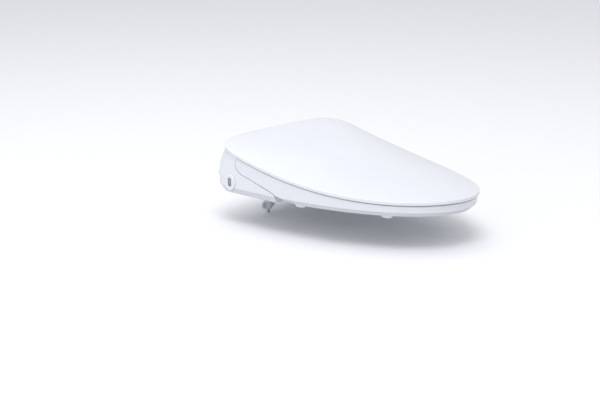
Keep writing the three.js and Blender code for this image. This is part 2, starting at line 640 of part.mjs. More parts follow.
// ---------------------------------------------------------------- dryer
const DRYER = { x: -75, y: -8, r: 32, low: 8, high: 36 };
function dryerHousing() {
  const drum = rod([DRYER.x, DRYER.y, DRYER.low], [DRYER.x, DRYER.y, DRYER.high], DRYER.r, 28);
  const room = rod([DRYER.x, DRYER.y, DRYER.low + 2], [DRYER.x, DRYER.y, DRYER.high - 2], DRYER.r - 2.2, 28);
  const inlet = rod([DRYER.x, DRYER.y, 30], [DRYER.x, DRYER.y, 45], 16, 24);
  return cut(drum, room, inlet, block(DRYER.x - 17, DRYER.x + 17, -50, -20, 17, 28.5));
}
place('dryer_housing', cut(dryerHousing(), block(-120, -30, -60, 60, 0, CASE_TOP)), darkPlastic);

function impeller(x, y, z0, z1, radius, blades) {
  const wheel = joined(
    rod([x, y, z0], [x, y, z0 + 1.6], radius, 24), rod([x, y, z0], [x, y, z1 - 2], radius * 0.3, 16));
  const vanes = Array.from({ length: blades }, (_, i) => {
    const vane = new THREE.BoxGeometry(radius * 0.32, 1.2, z1 - z0);
    vane.rotateZ(0.6);
    vane.translate(radius * 0.8, 0, (z0 + z1) / 2);
    vane.rotateZ(i / blades * 2 * Math.PI);
    vane.translate(x, y, 0);
    return toSolid(vane);
  });
  return joined(wheel, ...vanes);
}
place('dryer_impeller', impeller(DRYER.x, DRYER.y, 16, 30, 26, 10), whiteSatin);

function dryerDuct() {
  const tube = block(-94, -56, -72.8, -39.8, 15.8, 29.8);
  const drum = rod([DRYER.x, DRYER.y, 0], [DRYER.x, DRYER.y, 60], DRYER.r + GAP, 28);
  return cut(tube, block(-92, -58, -80, -30, 17.6, 28), drum);
}
place('dryer_duct', dryerDuct(), greyPlastic);

const FLAP = { x0: -94.4, x1: -55.6, y: BODY_FRONT + 1.3, top: 28.2, low: 15.6 };
const flapPlate = block(FLAP.x0, FLAP.x1, FLAP.y - 0.9, FLAP.y + 0.9, FLAP.low, FLAP.top);
const flapBarrel = rod([FLAP.x0, FLAP.y, FLAP.top], [FLAP.x1, FLAP.y, FLAP.top], 1.3, 12);
place('dryer_flap', joined(flapPlate, flapBarrel), whiteSatin);

// ---------------------------------------------------------------- deodoriser
function filterDrawer() {
  const tray = cut(block(118, 184.4, -43, -3, 18, 32), block(120, 180, -41, -5, 20, 40));
  return cut(tray, block(116, 122, -35, -11, 21, 31));
}
place('filter_drawer', filterDrawer(), whiteSatin);
place('carbon_filter', block(124, 158, -40.6, -5.4, 20.3, 31.5), carbon);
const FAN = { y: -23, z: 27, r: 18 };
function deodoriserHousing() {
  const drum = rod([88, FAN.y, FAN.z], [108, FAN.y, FAN.z], FAN.r, 24);
  const room = rod([90, FAN.y, FAN.z], [120, FAN.y, FAN.z], FAN.r - 2, 24);
  return cut(drum, room, block(80, 120, -60, 20, 0, CASE_TOP));
}
place('deodorizer_housing', deodoriserHousing(), darkPlastic);
const fanWheel = toGeometry(impeller(0, 0, -6, 6, 12.5, 6));
fanWheel.rotateY(Math.PI / 2);
fanWheel.translate(99, FAN.y, FAN.z);
place('deodorizer_impeller', fanWheel, whiteSatin);

// ---------------------------------------------------------------- water path
function heaterTank() {
  const outlet = rod([60, -30, 50], [60, -30, 60], 5, 16);
  return cut(block(36, 82, -64, 16, 14, 54), block(40, 78, -60, 12, 18, 50), outlet);
}
place('water_heater_tank', heaterTank(), greyPlastic);
place('heater_element', rod([59, -54, 32], [59, 6, 32], 9, 16), steel);
place('inlet_valve', joined(block(106, 131, 10, 36, 36, 58), block(112, 126, 14, 30, 57, 60)), brass);
function waterInlet() {
  const alongX = (x0, x1, radius, sides) => (
    rod([x0, INLET.y, INLET.z], [x1, INLET.y, INLET.z], radius, sides));
  const stub = joined(alongX(163.2, 197, INLET.radius, 16), alongX(187.2, 189.5, 13, 6));
  return cut(stub, alongX(160, 210, INLET.bore, 12));
}
place('water_inlet', waterInlet(), brass);
const dividerMotor = rod([-28, 26, 41], [-28, 26, 52], 8, 16);
place('flow_divider', joined(block(-38, -18, 12, 40, 16, 42), dividerMotor), darkPlastic);

function hose(points, radius) {
  const path = new THREE.CatmullRomCurve3(points.map((p) => new THREE.Vector3(...p)));
  const section = new THREE.Shape();
  section.absarc(0, 0, radius, 0, 2 * Math.PI);
  return new THREE.ExtrudeGeometry(section, { steps: 10, extrudePath: path, curveSegments: 4 });
}
const HOSE_R = 3;
const inletPath = [[120, 5, 48], [112, -6, 52], [96, -10, 50], [86, -8, 46]];
const outletPath = [[60, -30, 58], [40, -10, 66], [0, 10, 68], [-24, 22, 63], [-28, 26, 57], [-28, 26, 53]];
place('inlet_hose', toSolid(hose(inletPath, HOSE_R)), rubber);
place('outlet_hose', toSolid(hose(outletPath, HOSE_R)), rubber);

// ---------------------------------------------------------------- electronics
// A circuit board with blocks for its largest components: x, y, width, depth, height.
function board(x0, x1, y0, y1, z, components) {
  const blocks = components.map(([x, y, width, depth, height]) =>
    block(x, x + width, y, y + depth, z + 1.2, z + height));
  return joined(block(x0, x1, y0, y1, z, z + 1.6), ...blocks);
}
const controlBoard = board(-155, -114, -48, 18, 18, [
  [-150, -40, 12, 12, 4], [-134, -10, 14, 10, 8], [-150, -4, 8, 16, 6]]);
const powerBoard = board(36, 100, 22, 48, 15, [
  [42, 26, 20, 16, 22], [68, 28, 9, 9, 16], [82, 26, 12, 14, 10]]);
place('control_board', controlBoard, boardGreen);
place('power_board', powerBoard, boardGreen);
function cordGland() {
  const alongY = (y0, y1, radius) => rod([GLAND.x, y0, GLAND.z], [GLAND.x, y1, GLAND.z], radius, 16);
  const bush = joined(alongY(42, GLAND.rear, 6), alongY(GLAND.rear - 2.6, GLAND.rear, 9));
  return cut(bush, alongY(30, 70, 3.6));
}
place('cord_gland', cordGland(), darkPlastic);

// ---------------------------------------------------------------- side button and release button
function sideBezel() {
  const face = -BODY_HALF - GAP;
  const disc = rod([face, 0, 0], [face - 2.6, 0, 0], BUTTON.bezel, 36, BUTTON.bezel - 2);
  const dish = disc.scale([1, BUTTON.narrow, 1]).translate([0, BUTTON.y, BUTTON.z]);
  return cut(dish, capsuleX(-200, -150, BUTTON.y, BUTTON.z, BUTTON.half + 0.5, BUTTON.height + 0.5));
}
place('side_button_bezel', sideBezel(), whiteGloss);
place('side_button', joined(
  capsuleX(-188.4, -177.5, BUTTON.y, BUTTON.z, BUTTON.half, BUTTON.height),
  capsuleX(-181, -177.5, BUTTON.y, BUTTON.z, BUTTON.half + 1.5, BUTTON.height + 1.5)), greyPlastic);
place('side_button_switch', block(-174, -168, BUTTON.y - 5, BUTTON.y + 5, 18, 32), darkPlastic);
place('release_button', joined(
  capsuleX(172, 187.4, RELEASE.y, RELEASE.z, RELEASE.half, RELEASE.height),
  capsuleX(172, 180.8, RELEASE.y, RELEASE.z, RELEASE.half + 1.7, RELEASE.height + 1.7)), greyPlastic);

export default product;
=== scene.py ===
"""Looks of the electric bidet seat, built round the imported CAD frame.

Lengths are in millimetres, but those of the camera, the lights and the floor are in metres.
"""
import json
import math

import bmesh
import bpy
from mathutils import Matrix, Vector


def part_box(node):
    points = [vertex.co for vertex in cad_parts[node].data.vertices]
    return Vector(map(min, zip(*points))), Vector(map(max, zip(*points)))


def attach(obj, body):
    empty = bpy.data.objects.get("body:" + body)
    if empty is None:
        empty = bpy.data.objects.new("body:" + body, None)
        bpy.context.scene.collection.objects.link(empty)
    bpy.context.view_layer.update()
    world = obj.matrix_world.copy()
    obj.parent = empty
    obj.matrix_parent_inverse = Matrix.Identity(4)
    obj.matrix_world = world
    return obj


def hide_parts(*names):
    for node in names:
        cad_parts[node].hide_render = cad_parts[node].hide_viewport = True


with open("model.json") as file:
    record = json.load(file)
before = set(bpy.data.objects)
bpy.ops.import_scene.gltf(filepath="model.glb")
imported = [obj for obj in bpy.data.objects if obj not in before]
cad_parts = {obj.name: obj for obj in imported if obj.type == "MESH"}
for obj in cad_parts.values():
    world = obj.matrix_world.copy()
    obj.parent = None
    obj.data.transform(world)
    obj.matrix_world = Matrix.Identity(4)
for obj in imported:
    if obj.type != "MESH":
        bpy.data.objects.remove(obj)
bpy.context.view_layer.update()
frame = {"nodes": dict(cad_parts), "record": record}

MM = 0.001

# ---------------------------------------------------------------- driving dimensions, as in the CAD
HALF_WIDTH = 189
LID_REAR = 44
LID_LENGTH = 504
WIDEST = 96
REAR_POWER = 4.4
SIDE_POWER = 1.9
NOSE_POWER = 2.35
CENTRE_Y = LID_REAR - LID_LENGTH / 2
GAP_REAR = 98.5
GAP_FRONT = 30.6
GAP_SAG = 23.7
LID_EDGE = 7
LID_WALL = 3.6
CROWN_REAR = 19
CROWN_FRONT = 5
CROWN_POWER = 2.44
AXIS_Y = 32
AXIS_Z = 89
PIN_R = 4
KNUCKLE_R = 8.5
HUMP_R = 9.8
BODY_HALF = 186
BODY_REAR = 58
BODY_FRONT = -77
HUMP_HALF = 110
WING_IN = 160
CASE_BOTTOM = 0.6
CASE_FLOOR = 3
CASE_TOP = 13
WALL = 3.5
STEP_Z = 33
CORNER_LOW = 46
CORNER_TOP = 74
GAP = 0.3
HOLE_HALF = 108
HOLE_REAR = -105
HOLE_FRONT = -396
HOLE_WIDEST = -235
HOLE_POWER = 2.15
SEAT_LOW = 5
SEAT_SPLIT = 12
CHAMFER_Z = 14
SEAM = 1.4
ARCH_HALF = 104
ARCH_TOP = 31
OUTLINE_POINTS = 168
BUTTON_Y = -4.2
BUTTON_HALF = 4
BUTTON_HEIGHT = 8.2
BEZEL_NARROW = 0.88
BUTTON_Z = 25
RELEASE_Y = -66
RELEASE_Z = 21
INLET_Y = 26
INLET_Z = 24
GLAND_X = 120
GLAND_Z = 22
BOLT_X = 70

# ---------------------------------------------------------------- camera, lights and floor, in metres
CAMERA_AZIMUTH = math.radians(-48.16)
CAMERA_ELEVATION = math.radians(14.86)
CAMERA_DISTANCE = 2.794
CAMERA_RIGHT = 0.0526
CAMERA_UP = -0.0559
CAMERA_ORIGIN = Vector((0, LID_REAR * MM, 0))
CAMERA_LENS = 78
CAMERA_SENSOR = 36
FLOOR_Z = -0.064
SKY_STRENGTH = 0.8
HORIZON = (0.64, 0.655, 0.69, 1)
BACKDROP = (1.0, 1.0, 1.0, 1)
FLOOR_COLOUR = (0.93, 0.935, 0.945, 1)
FLOOR_BOUNCE = (0.72, 0.725, 0.745, 1)
ZENITH = (0.95, 0.965, 1.0, 1)
ZENITH_FROM = 0.75
FLOOR_REACH = 9
FLOOR_ROUGHNESS = 0.75
LIT_POINT = (0, -0.2, 0.05)
# Each light's place, size and power in watts.
LIGHTS = {
    "key": ((-1.2, -1.1, 3.2), 2.0, 43),
    "side": ((-3.0, 0.3, 0.9), 1.6, 13),
    "top": ((0.0, 1.0, 3.2), 3.0, 16),
}


def make_camera():
    """The photo's camera: back points from the object to the camera."""
    back = Vector((
        math.sin(CAMERA_AZIMUTH) * math.cos(CAMERA_ELEVATION),
        -math.cos(CAMERA_AZIMUTH) * math.cos(CAMERA_ELEVATION),
        math.sin(CAMERA_ELEVATION)))
    right = Vector((math.cos(CAMERA_AZIMUTH), math.sin(CAMERA_AZIMUTH), 0))
    up = back.cross(right)
    data = bpy.data.cameras.new("camera")
    data.lens = CAMERA_LENS
    data.sensor_width = CAMERA_SENSOR
    camera = bpy.data.objects.new("camera", data)
    bpy.context.scene.collection.objects.link(camera)
    place = CAMERA_ORIGIN + right * CAMERA_RIGHT + up * CAMERA_UP + back * CAMERA_DISTANCE
    axes = Matrix((right, up, back)).transposed().to_4x4()
    camera.matrix_world = Matrix.Translation(place) @ axes
    bpy.context.scene.camera = camera


def make_light(name, place, size, power):
    """A round area light that faces the middle of the object."""
    data = bpy.data.lights.new(name, "AREA")
    data.shape = "DISK"
    data.size = size
    data.energy = power
    light = bpy.data.objects.new(name, data)
    bpy.context.scene.collection.objects.link(light)
    light.location = place
    light.rotation_euler = (Vector(LIT_POINT) - Vector(place)).to_track_quat("-Z", "Y").to_euler()


def make_sky():
    """A sky that is paler overhead. The camera itself sees a plain white backdrop."""
    world = bpy.data.worlds.new("studio")
    world.use_nodes = True
    tree = world.node_tree
    sky = tree.nodes["Background"]
    sky.inputs["Strength"].default_value = SKY_STRENGTH
    direction = tree.nodes.new("ShaderNodeTexCoord")
    parts = tree.nodes.new("ShaderNodeSeparateXYZ")
    ramp = tree.nodes.new("ShaderNodeValToRGB")
    ramp.color_ramp.elements[0].position = 0.0
    ramp.color_ramp.elements[0].color = HORIZON
    ramp.color_ramp.elements[1].position = ZENITH_FROM
    ramp.color_ramp.elements[1].color = ZENITH
    tree.links.new(direction.outputs["Generated"], parts.inputs["Vector"])
    tree.links.new(parts.outputs["Z"], ramp.inputs["Fac"])
    seen = tree.nodes.new("ShaderNodeLightPath")
    backdrop = tree.nodes.new("ShaderNodeMix")
    backdrop.data_type = "RGBA"
    backdrop.inputs["B"].default_value = BACKDROP
    tree.links.new(seen.outputs["Is Camera Ray"], backdrop.inputs["Factor"])
    tree.links.new(ramp.outputs["Color"], backdrop.inputs["A"])
    tree.links.new(backdrop.outputs["Result"], sky.inputs["Color"])
    bpy.context.scene.world = world


def make_floor():
    """A plain pale floor, which bounces a little less light than the camera sees on it."""
    corners = [(-1, -1), (1, -1), (1, 1), (-1, 1)]
    mesh = bpy.data.meshes.new("floor")
    mesh.from_pydata([(x * FLOOR_REACH, y * FLOOR_REACH, FLOOR_Z) for x, y in corners], [], [(0, 1, 2, 3)])
    floor = bpy.data.objects.new("floor", mesh)
    bpy.context.scene.collection.objects.link(floor)
    material = bpy.data.materials.new("floor")
    material.use_nodes = True
    tree = material.node_tree
    shader = tree.nodes["Principled BSDF"]
    shade = tree.nodes.new("ShaderNodeMix")
    shade.data_type = "RGBA"
    shade.inputs["A"].default_value = FLOOR_BOUNCE
    shade.inputs["B"].default_value = FLOOR_COLOUR
    seen = tree.nodes.new("ShaderNodeLightPath")
    tree.links.new(seen.outputs["Is Camera Ray"], shade.inputs["Factor"])
    tree.links.new(shade.outputs["Result"], shader.inputs["Base Color"])
    shader.inputs["Roughness"].default_value = FLOOR_ROUGHNESS
    mesh.materials.append(material)


def make_stage():
    """Sky, floor and lights. The view transform is the plain one."""
    bpy.context.scene.view_settings.view_transform = "Standard"
    make_sky()
    make_floor()
    for name, (place, size, power) in LIGHTS.items():
        make_light(name, place, size, power)


# ---------------------------------------------------------------- materials
# Scale and detail of the noise that a material's colour and gloss follow.
CLOUD_NOISE = (9, 3)
GLOSS_NOISE = (38, 4)
BUMP_DETAIL = 2
COAT_ROUGHNESS = 0.06
GLOSS_DOWN = 0.04
GLOSS_UP = 0.05
LEAST_ROUGHNESS = 0.02
PEEL_SCALE = 160
PEEL_DEPTH = 0.00004
GRAIN_DEPTH = 0.00006


def new_material(
        name, colour, roughness, metallic=0.0, coat=0.0, tint=0.012, grain=0.0, grain_scale=900, peel=0.0):
    """Moulded or turned stock: a faint change of colour and gloss, a fine grain and a broad orange peel."""
    material = bpy.data.materials.new(name)
    material.use_nodes = True
    tree = material.node_tree
    shader = tree.nodes["Principled BSDF"]
    shader.inputs["Metallic"].default_value = metallic
    shader.inputs["Coat Weight"].default_value = coat
    shader.inputs["Coat Roughness"].default_value = COAT_ROUGHNESS
    place = tree.nodes.new("ShaderNodeTexCoord")

    def noise(scale, detail):
        node = tree.nodes.new("ShaderNodeTexNoise")
        node.inputs["Scale"].default_value = scale
        node.inputs["Detail"].default_value = detail
        tree.links.new(place.outputs["Object"], node.inputs["Vector"])
        return node.outputs["Fac"]

    cloud = noise(*CLOUD_NOISE)
    ramp = tree.nodes.new("ShaderNodeValToRGB")
    ramp.color_ramp.elements[0].position = 0.3
    ramp.color_ramp.elements[1].position = 0.7
    ramp.color_ramp.elements[0].color = [max(c - tint, 0) for c in colour] + [1]
    ramp.color_ramp.elements[1].color = [min(c + tint, 1) for c in colour] + [1]
    tree.links.new(cloud, ramp.inputs["Fac"])
    tree.links.new(ramp.outputs["Color"], shader.inputs["Base Color"])
    gloss = tree.nodes.new("ShaderNodeMapRange")
    gloss.inputs["To Min"].default_value = max(roughness - GLOSS_DOWN, LEAST_ROUGHNESS)
    gloss.inputs["To Max"].default_value = roughness + GLOSS_UP
    tree.links.new(noise(*GLOSS_NOISE), gloss.inputs["Value"])
    tree.links.new(gloss.outputs["Result"], shader.inputs["Roughness"])
    bump_in = None
    for strength, scale, depth in ((peel, PEEL_SCALE, PEEL_DEPTH), (grain, grain_scale, GRAIN_DEPTH)):
        if strength:
            bump = tree.nodes.new("ShaderNodeBump")
            bump.inputs["Strength"].default_value = strength
            bump.inputs["Distance"].default_value = depth
            tree.links.new(noise(scale, BUMP_DETAIL), bump.inputs["Height"])
            if bump_in:
                tree.links.new(bump_in, bump.inputs["Normal"])
            bump_in = bump.outputs["Normal"]
    if bump_in:
        tree.links.new(bump_in, shader.inputs["Normal"])
    return material


MATERIALS = {
    "gloss_white": new_material("gloss_white", (0.83, 0.845, 0.89), 0.2, coat=0.35, peel=0.25),
    "satin_white": new_material("satin_white", (0.76, 0.775, 0.82), 0.42, grain=0.25),
    "grey_plastic": new_material("grey_plastic", (0.44, 0.46, 0.5), 0.5, grain=0.5),
    "button_grey": new_material("button_grey", (0.16, 0.175, 0.2), 0.42, grain=0.3),
    "dark_plastic": new_material("dark_plastic", (0.035, 0.037, 0.042), 0.5, tint=0.006, grain=0.6),
    "pad_rubber": new_material("pad_rubber", (0.78, 0.8, 0.84), 0.6, grain=0.4),
    "steel": new_material("steel", (0.6, 0.61, 0.62), 0.28, metallic=1, grain=0.3),
    "brass": new_material("brass", (0.62, 0.45, 0.2), 0.3, metallic=1, grain=0.3),
    "heater_foil": new_material("heater_foil", (0.7, 0.45, 0.3), 0.4, metallic=1, grain=0.3),
    "circuit_board": new_material("circuit_board", (0.03, 0.16, 0.07), 0.4, grain=0.3),
    "carbon": new_material("carbon", (0.02, 0.02, 0.021), 0.9, tint=0.008, grain=1.0, grain_scale=300),
}
SLOT_OF = {part["node"]: part["material_slot"] for part in frame["record"]["subparts"]}
BODY_OF = {
    node: body for body, nodes in frame["record"]["behaviour"]["bodies"].items() for node in nodes}


# ---------------------------------------------------------------- mesh tools
def mesh_object(name, verts, faces):
    """A new object from corners in millimetres, with its faces pointing out."""
    mesh = bpy.data.meshes.new(name)
    mesh.from_pydata([Vector(v) * MM for v in verts], [], faces)
    work = bmesh.new()
    work.from_mesh(mesh)
    bmesh.ops.recalc_face_normals(work, faces=work.faces)
    work.to_mesh(mesh)
    work.free()
    thing = bpy.data.objects.new(name, mesh)
    bpy.context.scene.collection.objects.link(thing)
    return thing


def apply_modifiers(thing):
    """Replaces the object's mesh by what its modifiers make of it."""
    depsgraph = bpy.context.evaluated_depsgraph_get()
    mesh = bpy.data.meshes.new_from_object(thing.evaluated_get(depsgraph))
    thing.modifiers.clear()
    old = thing.data
    thing.data = mesh
    bpy.data.meshes.remove(old)


def boolean(thing, tools, operation):
    """Cuts, joins or keeps thing by each tool in turn. The tools are used up."""
    for tool in tools:
        step = thing.modifiers.new("cut", "BOOLEAN")
        step.operation = operation
        step.solver = "EXACT"
        step.object = tool
        apply_modifiers(thing)
        bpy.data.objects.remove(tool)


def cut(thing, *tools):
    boolean(thing, tools, "DIFFERENCE")


def join(thing, *tools):
    boolean(thing, tools, "UNION")


def keep(thing, tool):
    """Keeps only what lies inside tool."""
    boolean(thing, [tool], "INTERSECT")


SAME_POINT = 0.00002
FLAT_ANGLE = math.radians(0.4)


def rounded(thing, width, segments=3, angle=40):
    """Dissolves flat seams and rounds the edges that are sharper than angle."""
    work = bmesh.new()
    work.from_mesh(thing.data)
    bmesh.ops.remove_doubles(work, verts=work.verts, dist=SAME_POINT)
    bmesh.ops.dissolve_limit(
        work, angle_limit=FLAT_ANGLE, verts=work.verts, edges=work.edges, delimit={"NORMAL"})
    work.to_mesh(thing.data)
    work.free()
    step = thing.modifiers.new("round", "BEVEL")
    step.width = width * MM
    step.segments = segments
    step.limit_method = "ANGLE"
    step.angle_limit = math.radians(angle)
    apply_modifiers(thing)
    return thing


def finished(thing, body, slot, *nodes, smooth=35):
    """Smooth shading, material, body and the CAD nodes that the piece stands for."""
    thing.data.shade_smooth()
    thing.data.set_sharp_from_angle(angle=math.radians(smooth))
    thing.data.materials.clear()
    thing.data.materials.append(MATERIALS[slot])
    even = thing.modifiers.new("even_normals", "WEIGHTED_NORMAL")
    even.keep_sharp = True
    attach(thing, body)
    if nodes:
        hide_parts(*nodes)


def block(x0, x1, y0, y1, z0, z1):
    """A plain box between two limits on each axis."""
    verts = [(x, y, z) for z in (z0, z1) for y in (y0, y1) for x in (x0, x1)]
    faces = [(0, 2, 3, 1), (4, 5, 7, 6), (0, 1, 5, 4), (2, 6, 7, 3), (0, 4, 6, 2), (1, 3, 7, 5)]
    return mesh_object("block", verts, faces)


def skin(rings, closed, name="skin"):
    """Rings of equal length joined in order; the last joins the first, or both ends are capped."""
    count = len(rings[0])
    verts = [point for ring in rings for point in ring]
    faces = []
    for r in range(len(rings) if closed else len(rings) - 1):
        after = (r + 1) % len(rings)
        for i in range(count):
            j = (i + 1) % count
            faces.append((r * count + i, r * count + j, after * count + j, after * count + i))
    if not closed:
        faces.append(tuple(range(count - 1, -1, -1)))
        faces.append(tuple((len(rings) - 1) * count + i for i in range(count)))
    return mesh_object(name, verts, faces)


def side_profile(points, x0, x1, name="profile"):
    """A closed side view of (y, z) points, swept along X."""
    return skin([[(x, y, z) for y, z in points] for x in (x0, x1)], False, name)


def both_sides(points, x0, x1):
    """A side view swept from x0 to x1, and its mirror image on the left."""
    return [side_profile(points, x0, x1), side_profile(points, -x1, -x0)]


def arc(cy, cz, radius, start, end, steps):
    """Points of an arc in a side view, from one angle to the other in degrees."""
    angles = [math.radians(start + (end - start) * i / steps) for i in range(steps + 1)]
    return [(cy + radius * math.cos(a), cz + radius * math.sin(a)) for a in angles]


def axes_round(direction):
    """A unit vector along direction and two more square to it."""
    axis = Vector(direction).normalized()
    side = axis.orthogonal().normalized()
    return axis, side, axis.cross(side)


def turned(start, direction, profile, sides=64, name="turned", closed=False):
    """A solid of revolution: profile is (distance along direction, radius)."""
    origin = Vector(start)
    axis, side, other = axes_round(direction)
    rings = []
    for along, radius in profile:
        ring = []
        for i in range(sides):
            angle = 2 * math.pi * i / sides
            outward = side * math.cos(angle) + other * math.sin(angle)
            ring.append(origin + axis * along + outward * radius)
        rings.append(ring)
    return skin(rings, closed, name)


def rod(start, end, radius, sides=48):
    """A round rod from start to end."""
    span = Vector(end) - Vector(start)
    return turned(start, span, [(0, radius), (span.length, radius)], sides)


def capsule_ring(y, z, half, height, x, count=64):
    """An oval with flat sides and round ends in the plane at x; it stands upright or lies on its side."""
    wide = half > height
    r = min(half, height)
    reach = max(half, height) - r
    ring = []
    for i in range(count):
        angle = 2 * math.pi * (i + 0.5) / count
        dy = r * math.cos(angle) + (math.copysign(reach, math.cos(angle)) if wide else 0)
        dz = r * math.sin(angle) + (0 if wide else math.copysign(reach, math.sin(angle)))
        ring.append((x, y + dy, z + dz))
    return ring


def smooth_stations(stations, steps):
    """Catmull-Rom through rows of numbers."""
    rows = [stations[0]] + list(stations) + [stations[-1]]
    out = []
    for k in range(1, len(rows) - 2):
        p0, p1, p2, p3 = rows[k - 1:k + 3]
        for i in range(steps):
            t = i / steps
            out.append([
                0.5 * (
                    2 * b + (c - a) * t + (2 * a - 5 * b + 4 * c - d) * t * t
                    + (3 * b - a - 3 * c + d) * t ** 3)
                for a, b, c, d in zip(p0, p1, p2, p3)])
    out.append(list(stations[-1]))
    return out


# ---------------------------------------------------------------- master surfaces
def lid_outline(count=OUTLINE_POINTS):
    """The lid's outline as points at even spacing that run once round it."""
    dense = []
    steps = 900
    for i in range(steps + 1):
        t = i / steps * math.pi / 2
        dense.append((
            HALF_WIDTH * math.sin(t) ** (2 / REAR_POWER),
            LID_REAR - WIDEST * (1 - max(math.cos(t), 0) ** (2 / REAR_POWER))))
    for i in range(1, steps + 1):
        t = i / steps * math.pi / 2
        dense.append((
            HALF_WIDTH * max(math.cos(t), 0) ** (2 / SIDE_POWER),
            LID_REAR - WIDEST - (LID_LENGTH - WIDEST) * math.sin(t) ** (2 / NOSE_POWER)))
    lengths = [0]
    for (ax, ay), (bx, by) in zip(dense, dense[1:]):
        lengths.append(lengths[-1] + math.hypot(bx - ax, by - ay))
    half = count // 2
    right = []
    j = 0
    for i in range(half + 1):
        want = lengths[-1] * i / half
        while j < len(lengths) - 2 and lengths[j + 1] < want:
            j += 1
        share = (want - lengths[j]) / (lengths[j + 1] - lengths[j])
        (ax, ay), (bx, by) = dense[j], dense[j + 1]
        right.append((ax + (bx - ax) * share, ay + (by - ay) * share))
    left = [(-x, y) for x, y in right[1:-1]]
    return left + [right[-1]] + right[:-1][::-1]


OUTLINE = lid_outline()


def hole_point(x, y):
    """The seat opening's edge in the direction of (x, y) from its middle."""
    dy = y - HOLE_WIDEST
    reach = HOLE_REAR - HOLE_WIDEST if dy > 0 else HOLE_WIDEST - HOLE_FRONT
    size = (abs(x / HOLE_HALF) ** HOLE_POWER + abs(dy / reach) ** HOLE_POWER) ** (-1 / HOLE_POWER)
    return x * size, HOLE_WIDEST + dy * size


def gap_height(y):
    """Height of the gap between lid and seat, which sags between its ends."""
    t = min(max((LID_REAR - y) / LID_LENGTH, 0), 1)
    return GAP_REAR + (GAP_FRONT - GAP_REAR) * t - 4 * GAP_SAG * t * (1 - t)


def lid_top(y, k):
    """Height of the lid's crown on the outline shrunk to the share k."""
    t = (LID_REAR - y) / LID_LENGTH
    crown = CROWN_REAR + (CROWN_FRONT - CROWN_REAR) * t
    return gap_height(y) + LID_EDGE + crown * (1 - k ** CROWN_POWER)


OVAL_WIDTH = 0.98
OVAL_LENGTH = 0.94
OVAL_POWER = 1.3


def shrunk(point, k):
    """A point of the outline moved towards the lid's middle, ever rounder, so the crown has no ridges."""
    x, y = point
    angle = math.atan2((y - CENTRE_Y) / (LID_LENGTH / 2), x / HALF_WIDTH)
    oval = (HALF_WIDTH * OVAL_WIDTH * math.cos(angle), (LID_LENGTH / 2) * OVAL_LENGTH * math.sin(angle))
    blend = (1 - k) ** OVAL_POWER
    return (
        k * (x * (1 - blend) + oval[0] * blend),
        CENTRE_Y + k * ((y - CENTRE_Y) * (1 - blend) + oval[1] * blend))


def lid_ring(k, height):
    """The outline shrunk to the share k, at the heights that the function height gives."""
    ring = []
    for point in OUTLINE:
        x, y = shrunk(point, k)
        ring.append((x, y, height(y, k)))
    return ring


# ---------------------------------------------------------------- lid
LIP_END = 24
LIP_FADE = 16
LUG_FROM = 130
LUG_TO = 142
EYE_R = PIN_R + 0.4


def make_lid():
    """The lid as rings from its underside over the rim and the edge to the crown."""
    def lip(y):
        """The rim under the lid fades out towards the hinge."""
        return min(max((LIP_END - y) / LIP_FADE, 0), 1)

    def under(y, k):
        return lid_top(y, k) - LID_WALL

    def rim(share):
        """Heights of the rim's foot: 1 mm above the gap at share 0, and on it at share 1."""
        def height(y, k):
            plain = under(y, k)
            low = gap_height(y) + 1 - share
            return plain + (low - plain) * lip(y)
        return height

    def edge(drop):
        """Heights that lie drop below the top of the lid's edge."""
        return lambda y, k: gap_height(y) + LID_EDGE - drop

    # The shares of the outline at which the rings lie.
    inner = [0.02, 0.06, 0.12, 0.2, 0.3, 0.4, 0.5, 0.6, 0.7, 0.78, 0.85, 0.9, 0.94, 0.962]
    rings = [lid_ring(k, under) for k in inner]
    rings += [lid_ring(0.966, rim(0.0)), lid_ring(0.971, rim(1.0)), lid_ring(0.99, rim(1.0))]
    rings += [
        lid_ring(0.9955, edge(LID_EDGE - 0.1)), lid_ring(0.9985, edge(LID_EDGE - 0.6)),
        lid_ring(1.0, edge(LID_EDGE - 1.2)), lid_ring(1.0, edge(1.15)), lid_ring(0.9996, edge(0.72)),
        lid_ring(0.9982, edge(0.26)), lid_ring(0.996, edge(0.02)), lid_ring(0.9915, lid_top)]
    rings += [lid_ring(k, lid_top) for k in [0.98] + inner[::-1]]
    lid = skin(rings, False, "lid_panel")
    finished(lid, "lid", "gloss_white", "lid", smooth=50)


def make_lid_lugs():
    """The two lugs under the lid with their eyes for the hinge pins."""
    for side, name in ((-1, "left"), (1, "right")):
        lug = arc(AXIS_Y, AXIS_Z, KNUCKLE_R, 150, 390, 40) + [(AXIS_Y + 5.5, 101.2), (AXIS_Y - 8, 100.4)]
        x0, x1 = sorted((side * LUG_FROM, side * LUG_TO))
        piece = side_profile(lug, x0, x1, f"lid_lug_{name}")
        cut(piece, rod((x0 - 5, AXIS_Y, AXIS_Z), (x1 + 5, AXIS_Y, AXIS_Z), EYE_R))
        finished(rounded(piece, 0.8), "lid", "gloss_white")


# ---------------------------------------------------------------- seat
def seat_ring(s, inset, weight, offset):
    """s runs from the outline (0) to the hole (1); height is weight times the gap line, plus offset."""
    ring = []
    for point in OUTLINE:
        ox = point[0] * (1 - inset / HALF_WIDTH)
        oy = CENTRE_Y + (point[1] - CENTRE_Y) * (1 - inset / HALF_WIDTH)
        hx, hy = hole_point(*point)
        y = oy + (hy - oy) * s
        ring.append((ox + (hx - ox) * s, y, weight * gap_height(y) + offset))
    return ring


